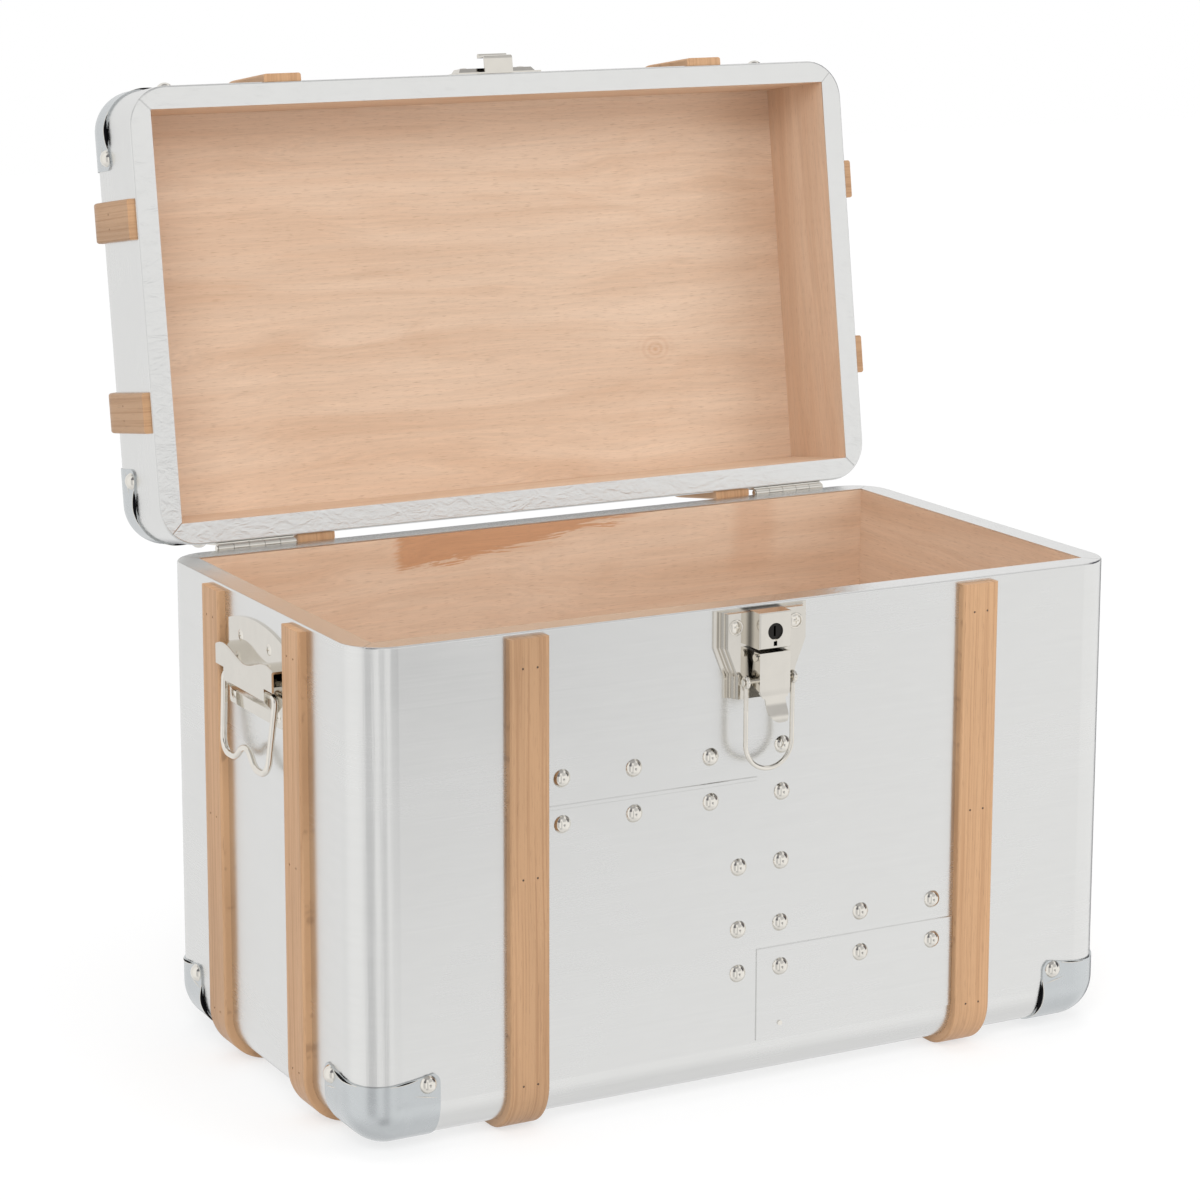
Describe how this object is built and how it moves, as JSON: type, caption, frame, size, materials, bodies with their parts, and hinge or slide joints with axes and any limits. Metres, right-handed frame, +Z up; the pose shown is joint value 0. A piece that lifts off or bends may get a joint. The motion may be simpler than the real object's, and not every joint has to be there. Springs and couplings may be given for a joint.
{
  "type": "storage trunk",
  "caption": "Metal-clad plywood storage chest with bent wooden slats, corner caps, a hinged lid standing open, a front draw latch with a lock, and a drop handle at each end.",
  "frame": {"origin": "on the floor under the middle of the base's footprint, in the plane of the undersides of the slats", "axes": "+X to the right along the front, +Y from front to back (the latch faces -Y), +Z up"},
  "size_m": [0.635, 0.521, 0.7069],
  "materials": {
    "plywood": "clear-sealed pale plywood",
    "aluminium_sheet": "satin, fine brushed",
    "aluminium_patch": "satin, fine brushed",
    "slat_wood": "oiled bent hardwood",
    "brad_steel": "plain",
    "nail_nickel": "nickel plated, polished",
    "cap_steel": "pressed steel, plated",
    "nickel_plate": "nickel plated, polished",
    "lock_dark": "darkened steel"
  },
  "bodies": {
    "chest": {"base_panel_left": "plywood", "base_panel_right": "plywood", "base_panel_front": "plywood", "base_panel_back": "plywood", "base_panel_bottom": "plywood", "base_cladding": "aluminium_sheet", "patch_sheet_left": "aluminium_patch", "patch_sheet_right": "aluminium_patch", "front_nails": "nail_nickel", "runner_slat_left": "slat_wood", "runner_slat_right": "slat_wood", "side_slats_left": "slat_wood", "side_slats_right": "slat_wood", "base_slat_brads": "brad_steel", "base_cap_front_left": "cap_steel", "base_cap_front_right": "cap_steel", "base_cap_rear_left": "cap_steel", "base_cap_rear_right": "cap_steel", "base_cap_nails": "nail_nickel", "hinge_left_base_leaf": "nickel_plate", "hinge_right_base_leaf": "nickel_plate", "hinge_pins": "nickel_plate", "hinge_base_screws": "nickel_plate", "latch_plate": "nickel_plate", "lock_case": "nickel_plate", "latch_lever_pin": "nickel_plate", "latch_screws": "nickel_plate", "handle_plate_left": "nickel_plate", "handle_plate_right": "nickel_plate", "handle_cover_left": "nickel_plate", "handle_cover_right": "nickel_plate", "handle_screws": "nickel_plate"},
    "lid": {"lid_rail_left": "plywood", "lid_rail_right": "plywood", "lid_rail_front": "plywood", "lid_rail_back": "plywood", "lid_top_panel": "plywood", "lid_cladding": "aluminium_sheet", "lid_slat_left": "slat_wood", "lid_slat_right": "slat_wood", "lid_side_slats_left": "slat_wood", "lid_side_slats_right": "slat_wood", "lid_slat_brads": "brad_steel", "lid_cap_front_left": "cap_steel", "lid_cap_front_right": "cap_steel", "lid_cap_rear_left": "cap_steel", "lid_cap_rear_right": "cap_steel", "lid_cap_nails": "nail_nickel", "hinge_left_lid_leaf": "nickel_plate", "hinge_right_lid_leaf": "nickel_plate", "hinge_lid_screws": "nickel_plate", "latch_keeper": "nickel_plate", "keeper_screws": "nickel_plate"},
    "lever": {"latch_lever": "nickel_plate"},
    "loop_pin": {"latch_loop_pin": "nickel_plate"},
    "loop": {"latch_loop": "nickel_plate"},
    "plug": {"lock_plug": "lock_dark"},
    "bail_left": {"handle_bail_left": "nickel_plate"},
    "bail_right": {"handle_bail_right": "nickel_plate"}
  },
  "joints": [
    {"name": "lid_hinge", "type": "hinge", "parent": "chest", "child": "lid", "pos_m": [0, 0.1729, 0.3552], "axis": [1, 0, 0], "range_deg": [0, 98.6]},
    {"name": "latch_lever_pivot", "type": "hinge", "parent": "chest", "child": "lever", "pos_m": [0, -0.1861, 0.3213], "axis": [-1, 0, 0], "range_deg": [0, 90]},
    {"name": "latch_pin_turn", "type": "hinge", "parent": "lever", "child": "loop_pin", "pos_m": [0, -0.1835, 0.3041], "axis": [-1, 0, 0], "range_deg": [-90, 0]},
    {"name": "latch_loop_swing", "type": "hinge", "parent": "loop_pin", "child": "loop", "pos_m": [0, -0.1835, 0.3041], "axis": [-1, 0, 0], "range_deg": [-3, 183.9]},
    {"name": "lock_plug_turn", "type": "hinge", "parent": "chest", "child": "plug", "pos_m": [0, -0.1898, 0.3396], "axis": [0, -1, 0], "range_deg": [0, 90]},
    {"name": "handle_left_swing", "type": "hinge", "parent": "chest", "child": "bail_left", "pos_m": [-0.3107, -0.002, 0.2965], "axis": [0, 1, 0], "range_deg": [0, 110]},
    {"name": "handle_right_swing", "type": "hinge", "parent": "chest", "child": "bail_right", "pos_m": [0.3107, -0.002, 0.2965], "axis": [0, -1, 0], "range_deg": [0, 110]}
  ],
  "couplings": [
    {"joint": "latch_pin_turn", "follows": "latch_lever_pivot", "ratio": -1}
  ]
}
